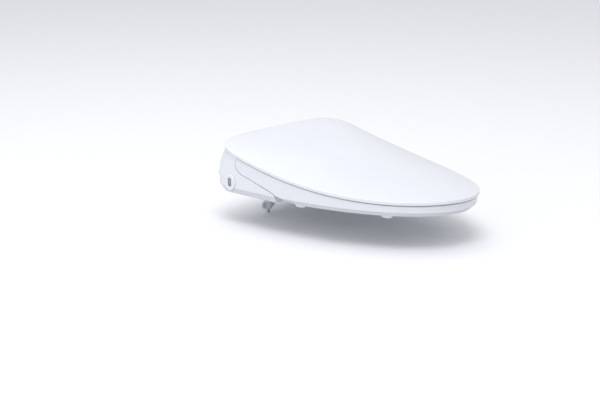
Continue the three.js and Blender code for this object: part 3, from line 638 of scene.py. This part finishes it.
# Side views as (y, z): the seam between the seat's flank and the casing's wing, from the lid's edge down to
# the wing's tip, and the seat's lower edge, which rises to that tip.
SEAM_LINE = [
    (-20.6, 78), (-20.8, 75), (-17.6, 65), (-18.8, 57), (-26, 48.5), (-37, 43.5), (-55, 39),
    (-100, 25.4), (-118, 19), (-123.4, 16)]
WING_TIP = [(-124.5, CASE_TOP), (-124.5, CASE_BOTTOM - 0.3)]
SEAT_HEEL = [(-142, 11), (-168, 4.6)]
SEAM_RISE = 0.9
OUTSIDE = HALF_WIDTH + 10
BASE = -10
ABOVE = 140
BEHIND = 80


def seam_curve(grow):
    """The seam and the wing's tip, moved away from the wing by grow."""
    smooth = smooth_stations(SEAM_LINE[1:], 6)
    points = [SEAM_LINE[0]] + [tuple(p) for p in smooth] + WING_TIP
    return [(y - grow, z + grow * SEAM_RISE) for y, z in points]


def cheek_profile(grow, base):
    """Side view of the casing's cheek and wing."""
    roof = [(y, gap_height(y) - 1.4 + grow) for y in range(24, -18, -3)]
    rear = [(70, base), (70, 79), (48, 82), (42, 83.4), (36, 86), (31, 88.2)]
    return rear + roof + seam_curve(grow) + [(WING_TIP[0][0] - grow, base)]


def body_zone(grow):
    """Solids that keep the seat clear of the casing by grow."""
    rising = [SEAM_LINE[-1], (-132, 13.9)] + SEAT_HEEL
    heel = [(-110, BASE), (-110, 10)]
    heel += [(y - grow, z + grow * SEAM_RISE) for y, z in rising]
    heel.append((SEAT_HEEL[1][0] - grow, BASE))
    return [
        *both_sides(heel, WING_IN, OUTSIDE),
        block(-WING_IN - 1, WING_IN + 1, BODY_FRONT - grow, BEHIND, BASE, ABOVE),
        block(-ARCH_HALF - grow, ARCH_HALF + grow, -135, -70, BASE, ARCH_TOP + grow),
        *both_sides(cheek_profile(grow, BASE), WING_IN, OUTSIDE),
        block(-OUTSIDE, OUTSIDE, SEAM_LINE[0][0] - grow, BEHIND, 70, ABOVE)]


def arm_profile():
    """Side view of a hinge arm of the seat, with its knuckle round the axis."""
    ys = list(range(-86, 25, 5))
    low = [(y, gap_height(y) - 16) for y in ys]
    high = [(y, gap_height(y) - 1.6) for y in ys[::-1]]
    return low + arc(AXIS_Y, AXIS_Z, KNUCKLE_R, 250, 470, 40) + high


def make_seat_top():
    """The seat's upper shell with its two hinge arms."""
    # Each station is what seat_ring takes: s, inset, weight and offset, from the flank over to the hole.
    stations = [
        [0, 3.5, 0.02, CHAMFER_Z + 0.1], [0, 3.3, 0.35, 9.4], [0, 3.0, 0.8, -1.2], [0, 2.6, 1, -3.8],
        [0, 2.9, 1, -2.5], [0.012, 3.6, 1, -1.9], [0.05, 4.2, 1, -1.5], [0.12, 4.5, 1, -1.2],
        [0.3, 4.5, 1, -0.5], [0.5, 4.5, 1, -0.7], [0.7, 4.5, 1, -1.9], [0.86, 4.0, 1, -4.0],
        [0.955, 2.5, 1, -7.2], [0.99, 1.0, 1, -10.6], [1, 0, 0.8, -10.5], [1, 0, 0.4, 1.0]]
    rings = [seat_ring(0, 5.2, 0, SEAT_SPLIT + GAP), seat_ring(0, 3.75, 0, CHAMFER_Z - 0.3)]
    rings += [seat_ring(*row) for row in smooth_stations(stations, 3)]
    rings.append(seat_ring(1, 0, 0, SEAT_SPLIT + GAP))
    top = skin(rings, True, "seat_upper_shell")
    cut(top, *body_zone(SEAM))
    arms = both_sides(arm_profile(), HUMP_HALF + 4, 128)
    foot = [(-84, gap_height(-84) - 22), (6, gap_height(6) - 16), (6, gap_height(6) - 1.7)]
    foot += [(y, gap_height(y) - 1.9) for y in range(0, -88, -7)]
    join(top, *arms, *both_sides(foot, 114, 157))
    cut(top, rod((-WING_IN, AXIS_Y, AXIS_Z), (WING_IN, AXIS_Y, AXIS_Z), EYE_R))
    finished(rounded(top, 0.9, angle=50), "seat", "gloss_white", "seat_top_shell")


def make_seat_bottom():
    """The seat's lower shell, which closes it from below."""
    # Each row is s, inset and height.
    rows = [
        [0, 5.5, SEAT_SPLIT], [0.5, 5.5, SEAT_SPLIT], [1, 0, SEAT_SPLIT], [1, 0, 7.5], [0.995, 0, 6],
        [0.98, 0, SEAT_LOW], [0.5, 0, SEAT_LOW], [0, 12.2, SEAT_LOW], [0, 11.4, 5.2], [0, 10.8, 5.7]]
    bottom = skin([seat_ring(s, inset, 0, z) for s, inset, z in rows], True, "seat_lower_shell")
    cut(bottom, *body_zone(SEAM))
    finished(rounded(bottom, 0.6, segments=2, angle=50), "seat", "satin_white", "seat_bottom_shell")


PAD_STRETCH = 1.6
PAD_SIDES = 48
# A pad's half width at each height.
PAD_STEPS = ((6.0, 0.05), (7.2, 0.35), (7.8, 1.1), (8, 2.2), (8, SEAT_LOW))


def make_seat_pads():
    """The oval rubber pads that the seat rests on, in the place of their CAD nodes."""
    angles = [2 * math.pi * i / PAD_SIDES for i in range(PAD_SIDES)]
    for node in frame["nodes"]:
        if node.startswith("seat_bumper"):
            low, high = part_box(node)
            x, y = (low[0] + high[0]) / 2 / MM, (low[1] + high[1]) / 2 / MM
            rings = []
            for size, z in PAD_STEPS:
                rings.append([
                    (x + size * math.cos(a), y + PAD_STRETCH * size * math.sin(a), z) for a in angles])
            finished(skin(rings, False, node.replace("bumper", "pad")), "seat", "pad_rubber", node)


# ---------------------------------------------------------------- casing
PLAN_FRONT = -150


def casing_plan(inset, back, z, corner=CORNER_LOW, steps=26):
    """The casing's outline from above at height z, which runs straight on past the wings' tips."""
    half = BODY_HALF - inset
    rear = BODY_REAR - back
    right = []
    for i in range(steps + 1):
        angle = i / steps * math.pi / 2
        x = half - corner + corner * math.cos(angle)
        y = rear - corner + corner * math.sin(angle)
        right.append((x, y, z))
    left = [(-x, y, z) for x, y, z in right[::-1]]
    return [(half, PLAN_FRONT, z), *right, *left, (-half, PLAN_FRONT, z)]


# The wand's own frame: its axis starts at the casing's front wall and runs forwards and down.
WAND_SLOPE = math.radians(20)
WAND_R = 7
WAND_AXIS = Vector((0, -math.cos(WAND_SLOPE), -math.sin(WAND_SLOPE)))
WAND_UP = Vector((0, -math.sin(WAND_SLOPE), math.cos(WAND_SLOPE)))
WAND_START = Vector((0, BODY_FRONT, 13))


def along(s, x=0, v=0):
    """The point s along the wand's axis, x to its side and v above it."""
    place = WAND_START + WAND_AXIS * s + WAND_UP * v
    return (x, place.y, place.z)


def wand_block(x0, x1, v0, v1, s0, s1):
    """A block in the wand's own frame: to its side, above it and along it."""
    box = block(x0, x1, v0, v1, s0, s1)
    axes = Matrix((Vector((1, 0, 0)), WAND_UP, WAND_AXIS)).transposed().to_4x4()
    box.data.transform(Matrix.Translation(WAND_START * MM) @ axes)
    return box


def wand_opening():
    """The wand's hole through the casing's front wall, with room for its rack."""
    return [rod(along(-22), along(14), WAND_R + 1.8), wand_block(0, 11.4, -3.6, 3.6, -26, 14)]


def hump_roof(drop):
    """Side view of the roof between the hinges, from the back to the front, lowered by drop."""
    return [(y, gap_height(y) + 3.4 - drop) for y in range(20, -68, -6)]


def button_hole():
    """The oval hole of the side button through the left cheek."""
    half = BUTTON_HALF + 0.5
    height = BUTTON_HEIGHT + 0.5
    return skin([capsule_ring(BUTTON_Y, BUTTON_Z, half, height, x) for x in (-200, -150)], False)


def cover_form():
    """The upper cover as a full body: its plan at each height, cut to its side views."""
    # From the seam with the tray up to the roof: inset, back, height and, above the step, corner radius.
    walls = [
        (0.5, 6.4, CASE_TOP + GAP), (0.1, 6.0, CASE_TOP + 0.9), (0, 5.8, 24), (0, 5.6, STEP_Z - 1.6),
        (0, 5.4, STEP_Z - 1.1), (0.05, 3.4, STEP_Z - 0.3), (0.1, 2.1, STEP_Z + 0.2),
        (0.25, 1.7, STEP_Z + 0.9), (0.3, 1.8, STEP_Z + 2), (0.7, 3.0, 54, 50.5), (1.2, 4.6, 66, 56),
        (2.0, 7.0, 82, 65), (2.55, 8.6, 92, 70), (3, 10, 100, CORNER_TOP)]
    outer = skin([casing_plan(*row) for row in walls], False, "casing_cover")
    hump = [(70, 0), (70, 66), (54, 68), (37, 68)]
    hump += [*arc(AXIS_Y, AXIS_Z, HUMP_R, -72, 95, 40), *hump_roof(0), (-70, gap_height(-70) + 2.9)]
    hump += [(-73.5, gap_height(-73) + 1.0), (-76, 63.6), (BODY_FRONT, 60.5), (BODY_FRONT, 0)]
    slot = [
        (70, 0), (70, 66), (54, 68), (30, 68), (20, 68), (10, gap_height(10) - 21),
        (-20, gap_height(-20) - 21), (-50, gap_height(-50) - 22), (BODY_FRONT, gap_height(BODY_FRONT) - 26),
        (BODY_FRONT, 0)]
    solid = side_profile(hump, -HUMP_HALF, HUMP_HALF)
    slots = both_sides(slot, HUMP_HALF - 1, WING_IN + 0.2)
    join(solid, *slots, *both_sides(cheek_profile(0, 0), WING_IN, BODY_HALF + 10))
    keep(outer, solid)
    return rounded(outer, 1.0, angle=50)


def hollow(cover):
    """Clears the rooms behind the cover's walls: between the hinges, beside them and in the cheeks."""
    middle = [(49, 0), (49, 63), (31, 63), (26, 70), (26, 88), *hump_roof(WALL)]
    middle += [(-72, 58), (BODY_FRONT + WALL, 56), (BODY_FRONT + WALL, 0)]
    beside = [(44, 0), (44, 63), (28, 63), (10, gap_height(10) - 25), (-40, gap_height(-40) - 26)]
    beside += [(BODY_FRONT + WALL, 35), (BODY_FRONT + WALL, 0)]
    under_wing = [(-55, 34), (-100, 21), (-112, 16), (-114, 0)]
    cheek = [(4, 0), (4, 74), (-12, 70), (-13, 60), (-20, 46), (-34, 38.5), *under_wing]
    wing = [(4, 0), (4, 38), (-34, 38), *under_wing]
    dampers = rod((-96, AXIS_Y, AXIS_Z), (96, AXIS_Y, AXIS_Z), 7.9)
    cut(
        cover, side_profile(middle, -HUMP_HALF + WALL, HUMP_HALF - WALL), dampers,
        *both_sides(beside, HUMP_HALF - WALL - 1, 156), *both_sides(cheek, 165, 179),
        *both_sides(wing, 178, 181.5))


def pierce(cover):
    """Cuts the cover's holes for the pieces that pass through its walls."""
    pins = rod((-150, AXIS_Y, AXIS_Z), (150, AXIS_Y, AXIS_Z), PIN_R + GAP)
    dryer_outlet = block(-95, -55, -80, -70, 15, 30)
    filter_drawer = block(114, 200, -44, -2, 17, 33)
    inlet = rod((150, INLET_Y, INLET_Z), (210, INLET_Y, INLET_Z), 11)
    gland = rod((GLAND_X, 40, GLAND_Z), (GLAND_X, 80, GLAND_Z), 6.4)
    release = skin([capsule_ring(RELEASE_Y, RELEASE_Z, 7.4, 5, x) for x in (150, 200)], False)
    cut(cover, *wand_opening(), pins, dryer_outlet, filter_drawer, inlet, gland, button_hole(), release)


def make_cover():
    cover = cover_form()
    hollow(cover)
    pierce(cover)
    finished(cover, "unit", "gloss_white", "upper_cover")


CASE_SCREWS = ((-138, -60), (138, -60), (-138, 28), (138, 28))


def make_tray():
    """Lower tray with its skirt, the island over the mounting plate and the posts of the screws."""
    tray = skin([
        casing_plan(9.2, 12.6, CASE_BOTTOM), casing_plan(8.3, 11.8, CASE_BOTTOM + 0.25),
        casing_plan(7.8, 11.4, CASE_BOTTOM + 0.9), casing_plan(0.95, 6.6, CASE_TOP - 0.7),
        casing_plan(0.8, 6.4, CASE_TOP - 0.3), casing_plan(1.1, 6.8, CASE_TOP)], False, "casing_tray")
    solid = block(-WING_IN - 1, WING_IN + 1, BODY_FRONT, 80, 0, 30)
    wing = [(70, 0), (70, 30), (WING_TIP[0][0], 30), (WING_TIP[0][0], 0)]
    join(solid, *both_sides(wing, WING_IN, 200))
    keep(tray, solid)
    inside = block(-152, 152, BODY_FRONT + WALL, 38, 6, 30)
    underside = block(-150, 150, BODY_FRONT + 6, 36, -1, CASE_FLOOR)
    cut(tray, inside, block(-173, -165, -112, 12, 6, 30), underside, block(165, 173, -112, 12, 6, 30))
    join(tray, block(-108, 108, -45, 46, CASE_BOTTOM, CASE_TOP - 0.5))
    plate_room = block(-104, 104, -41, 90, -5, 10.2)
    inlet_room = rod((150, INLET_Y, INLET_Z), (210, INLET_Y, INLET_Z), 11.2)
    cut(tray, plate_room, *wand_opening(), inlet_room)
    for x, y in CASE_SCREWS:
        join(tray, rod((x, y, CASE_FLOOR + 0.5), (x, y, CASE_TOP), 6))
        cut(tray, rod((x, y, 0), (x, y, 8), 4), rod((x, y, 0), (x, y, 20), 1.9))
    finished(rounded(tray, 0.5, segments=2, angle=60), "unit", "satin_white", "lower_case")


# ---------------------------------------------------------------- buttons
# Sections of the button's rim and cap as (half width, x).
RIM_ROWS = [
    (2.1, -180), (BUTTON_HALF, -180), (BUTTON_HALF, -187.8), (3.85, -188.2), (3.4, -188.4),
    (2.5, -188.3), (2.15, -188.0)]
CAP_ROWS = [(2.0, -178), (2.0, -187.7), (1.8, -188.0), (1.2, -187.95), (0.3, -187.85)]


def make_side_button():
    """The oval bezel, and the button's dark rim with its lighter cap."""
    face = -BODY_HALF - GAP
    bezel = turned((face, BUTTON_Y, BUTTON_Z), (-1, 0, 0), [
        (0, 17), (0.5, 17), (1.3, 16.7), (2.0, 16.1), (2.45, 15.2), (2.6, 14.2), (2.5, 13.2), (2.2, 11.6),
        (1.95, 9.5), (1.9, 8)], 96, "side_bezel")
    for vertex in bezel.data.vertices:
        vertex.co.y = (BUTTON_Y + (vertex.co.y / MM - BUTTON_Y) * BEZEL_NARROW) * MM
    cut(bezel, button_hole())
    finished(bezel, "unit", "gloss_white", "side_button_bezel", smooth=50)

    def rings(rows):
        grow = BUTTON_HEIGHT - BUTTON_HALF
        return [capsule_ring(BUTTON_Y, BUTTON_Z, half, half + grow, x) for half, x in rows][::-1]

    rim = skin(rings(RIM_ROWS), True, "side_button_rim")
    finished(rim, "side_push", "button_grey", smooth=50)
    cap = skin(rings(CAP_ROWS), False, "side_button_cap")
    finished(cap, "side_push", "grey_plastic", "side_button", smooth=50)


# ---------------------------------------------------------------- turned and screwed pieces
def span(name):
    """The CAD node's lowest and highest corner."""
    low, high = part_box(name)
    return [value / MM for value in low], [value / MM for value in high]


RINGS_A_TURN = 8


def thread(start, direction, length, radius, pitch, depth, sides=40):
    """A screwed shank: the radius follows a helix, and fades out at both ends."""
    origin = Vector(start)
    axis, side, other = axes_round(direction)
    steps = int(length / pitch * RINGS_A_TURN)
    rings = []
    for k in range(steps + 1):
        distance = length * k / steps
        fade = min(1, distance / pitch, (length - distance) / pitch)
        ring = []
        for i in range(sides):
            turn = i / sides
            wave = abs((distance / pitch - turn) % 1 - 0.5) * 2
            reach = radius - depth * (1 - fade) - depth * fade * (1 - wave)
            angle = 2 * math.pi * turn
            outward = side * math.cos(angle) + other * math.sin(angle)
            ring.append(origin + axis * distance + outward * reach)
        rings.append(ring)
    return skin(rings, False, "thread")


# One wing of a nut as (distance from the bolt's axis, z).
WING_OUTLINE = [
    (6, -39), (13.7, -38.4), (17.9, -39.4), (19, -42), (18.4, -48), (16.3, -51), (11.4, -52.4), (6, -52.4)]


def make_bolt(side, x):
    """A fixing bolt with a slotted head."""
    shank = thread((x, 0, 3.9), (0, 0, -1), length=65.9, radius=4, pitch=1.5, depth=0.75)
    finished(shank, "mount", "steel", f"fixing_bolt_{side}", smooth=60)
    head = turned((x, 0, 3.8), (0, 0, 1), [
        (0, 3.9), (0, 7.6), (0.3, 8), (2.6, 8), (3.4, 7.6), (4.0, 6.4), (4.2, 4.0), (4.2, 2.6)],
        48, "bolt_head")
    cut(head, block(x - 9, x + 9, -0.8, 0.8, 6.6, 9))
    finished(rounded(head, 0.15, segments=2, angle=50), "mount", "steel")


def make_washer(side, x):
    """A rubber washer, conical below."""
    washer = turned((x, 0, -29), (0, 0, -1), [
        (0, 4.4), (0, 13.2), (0.4, 14), (1.6, 14), (2.3, 13.6), (6.4, 9.7), (7, 9), (7, 4.4)],
        64, "washer", True)
    finished(washer, "mount", "pad_rubber", f"rubber_washer_{side}", smooth=50)


def make_nut(side, x):
    """A plastic nut with two wings, drilled for its bolt."""
    nut = turned((x, 0, -36.4), (0, 0, -1), [
        (0, 4.4), (0, 9.0), (0.5, 9.5), (8, 9.2), (16, 8.2), (17.1, 7.8), (17.6, 7.0), (17.6, 4.4)],
        48, "nut")
    for facing in (1, -1):
        outline = [(x + facing * reach, z) for reach, z in WING_OUTLINE]
        wing = skin([[(px, y, pz) for px, pz in outline] for y in (-2.5, 2.5)], False, "wing")
        join(nut, rounded(wing, 1.2, angle=50))
    cut(nut, rod((x, 0, -70), (x, 0, 5), 4.3))
    finished(nut, "mount", "satin_white", f"wing_nut_{side}", smooth=40)


def make_fixings():
    for side, x in (("left", -BOLT_X), ("right", BOLT_X)):
        make_bolt(side, x)
        make_washer(side, x)
        make_nut(side, x)


def make_inlet():
    """The threaded water inlet with its hexagon."""
    y, z = INLET_Y, INLET_Z
    stub = turned((163.2, y, z), (1, 0, 0), [
        (0, 7), (0, 10.2), (23.9, 10.2), (24.1, 9.4), (26.2, 9.4), (26.4, 9.3), (26.6, 7)],
        64, "inlet_stub", True)
    finished(stub, "unit", "brass", "water_inlet", smooth=40)
    screw = thread((189.4, y, z), (1, 0, 0), length=7.6, radius=10.2, pitch=1.8, depth=0.8, sides=64)
    cut(screw, rod((180, y, z), (210, y, z), 7))
    finished(screw, "unit", "brass", smooth=50)
    collar = turned((187.1, y, z), (1, 0, 0), [
        (0, 8), (0, 12.4), (0.5, 13), (2.0, 13), (2.5, 12.4), (2.5, 8)], 6, "hex", True)
    finished(rounded(collar, 0.3, segments=2, angle=30), "unit", "brass")


def make_gland():
    """The gland through which the mains cord comes out."""
    gland = turned((GLAND_X, 42, GLAND_Z), (0, 1, 0), [
        (0, 3.6), (0, 6), (11.2, 6), (11.4, 6.4), (11.4, 8.6), (11.8, 9), (13.1, 8.9), (13.8, 8.2),
        (14, 7.2), (14, 4.4), (13.4, 3.6)], 64, "gland", True)
    finished(gland, "unit", "dark_plastic", "cord_gland", smooth=45)


def make_wand():
    """The wand's tube, cut flat on one side for its rack."""
    wand = turned(along(-112), WAND_AXIS, [
        (0, 3), (0, 6.4), (0.6, WAND_R), (88.9, WAND_R), (89.7, 6.6), (89.7, 2)], 72, "wand_tube")
    cut(wand, wand_block(5.6, 12, -9, 9, -120, -20))
    finished(wand, "nozzle", "satin_white", "nozzle_wand")


def make_tip():
    """The wand's steel tip with its three jets."""
    tip = turned(along(-22), WAND_AXIS, [
        (0, 3), (0, 6.6), (0.5, WAND_R), (11.5, WAND_R), (14.2, 6.7), (16.2, 5.9), (17.4, 4.7), (18, 3.1),
        (18, 1)], 72, "wand_tip")
    for s in (-18, -15, -12):
        cut(tip, rod(along(s, 0, 5), along(s, 0, 9), 0.9, 24))
    finished(tip, "nozzle", "steel", "nozzle_tip", smooth=40)


PIN_EASE = 0.6


def turned_pin(name):
    """A hinge pin or damper with eased ends, in the place of its CAD node."""
    low, high = span(name)
    radius = (high[2] - low[2]) / 2
    length = high[0] - low[0]
    return turned((low[0], AXIS_Y, AXIS_Z), (1, 0, 0), [
        (0, radius - PIN_EASE), (PIN_EASE, radius), (length - PIN_EASE, radius),
        (length, radius - PIN_EASE)], 48, name + "_turned")


def turned_pad(name):
    """A pad under the lid with a domed foot, in the place of its CAD node."""
    low, high = span(name)
    x, y = (low[0] + high[0]) / 2, (low[1] + high[1]) / 2
    height = high[2] - low[2]
    return turned((x, y, high[2]), (0, 0, -1), [
        (0, 5), (height - 2, 5), (height - 0.8, 4.6), (height - 0.15, 3.4), (height, 2)],
        48, name + "_turned")


def make_round_pieces():
    """The pins and dampers on the hinge axis and the pads under the lid."""
    for name in BODY_OF:
        if name.startswith(("hinge_pin", "seat_damper", "lid_damper")):
            finished(turned_pin(name), BODY_OF[name], SLOT_OF[name], name, smooth=50)
        elif name.startswith("lid_bumper"):
            finished(turned_pad(name), BODY_OF[name], SLOT_OF[name], name, smooth=50)


# The CAD nodes that the functions above replace, by name and by the start of the name.
REBUILT = {
    "lid", "seat_top_shell", "seat_bottom_shell", "upper_cover", "lower_case", "side_button",
    "side_button_bezel", "water_inlet", "cord_gland", "nozzle_wand", "nozzle_tip"}
REBUILT_FAMILIES = (
    "seat_bumper", "lid_bumper", "hinge_pin", "fixing_bolt", "rubber_washer", "wing_nut", "seat_damper",
    "lid_damper")


EASE = 0.35


def ease_the_rest():
    """Every other CAD node gets its edges eased and its material."""
    for name, source in frame["nodes"].items():
        if name in REBUILT or name.startswith(REBUILT_FAMILIES):
            continue
        thing = bpy.data.objects.new(name + "_eased", source.data.copy())
        thing.matrix_world = source.matrix_world.copy()
        bpy.context.scene.collection.objects.link(thing)
        rounded(thing, EASE, segments=2, angle=50)
        finished(thing, BODY_OF[name], SLOT_OF[name], name, smooth=50)


make_camera()
make_stage()
make_lid()
make_lid_lugs()
make_seat_top()
make_seat_bottom()
make_seat_pads()
make_cover()
make_tray()
make_side_button()
make_fixings()
make_inlet()
make_gland()
make_wand()
make_tip()
make_round_pieces()
ease_the_rest()
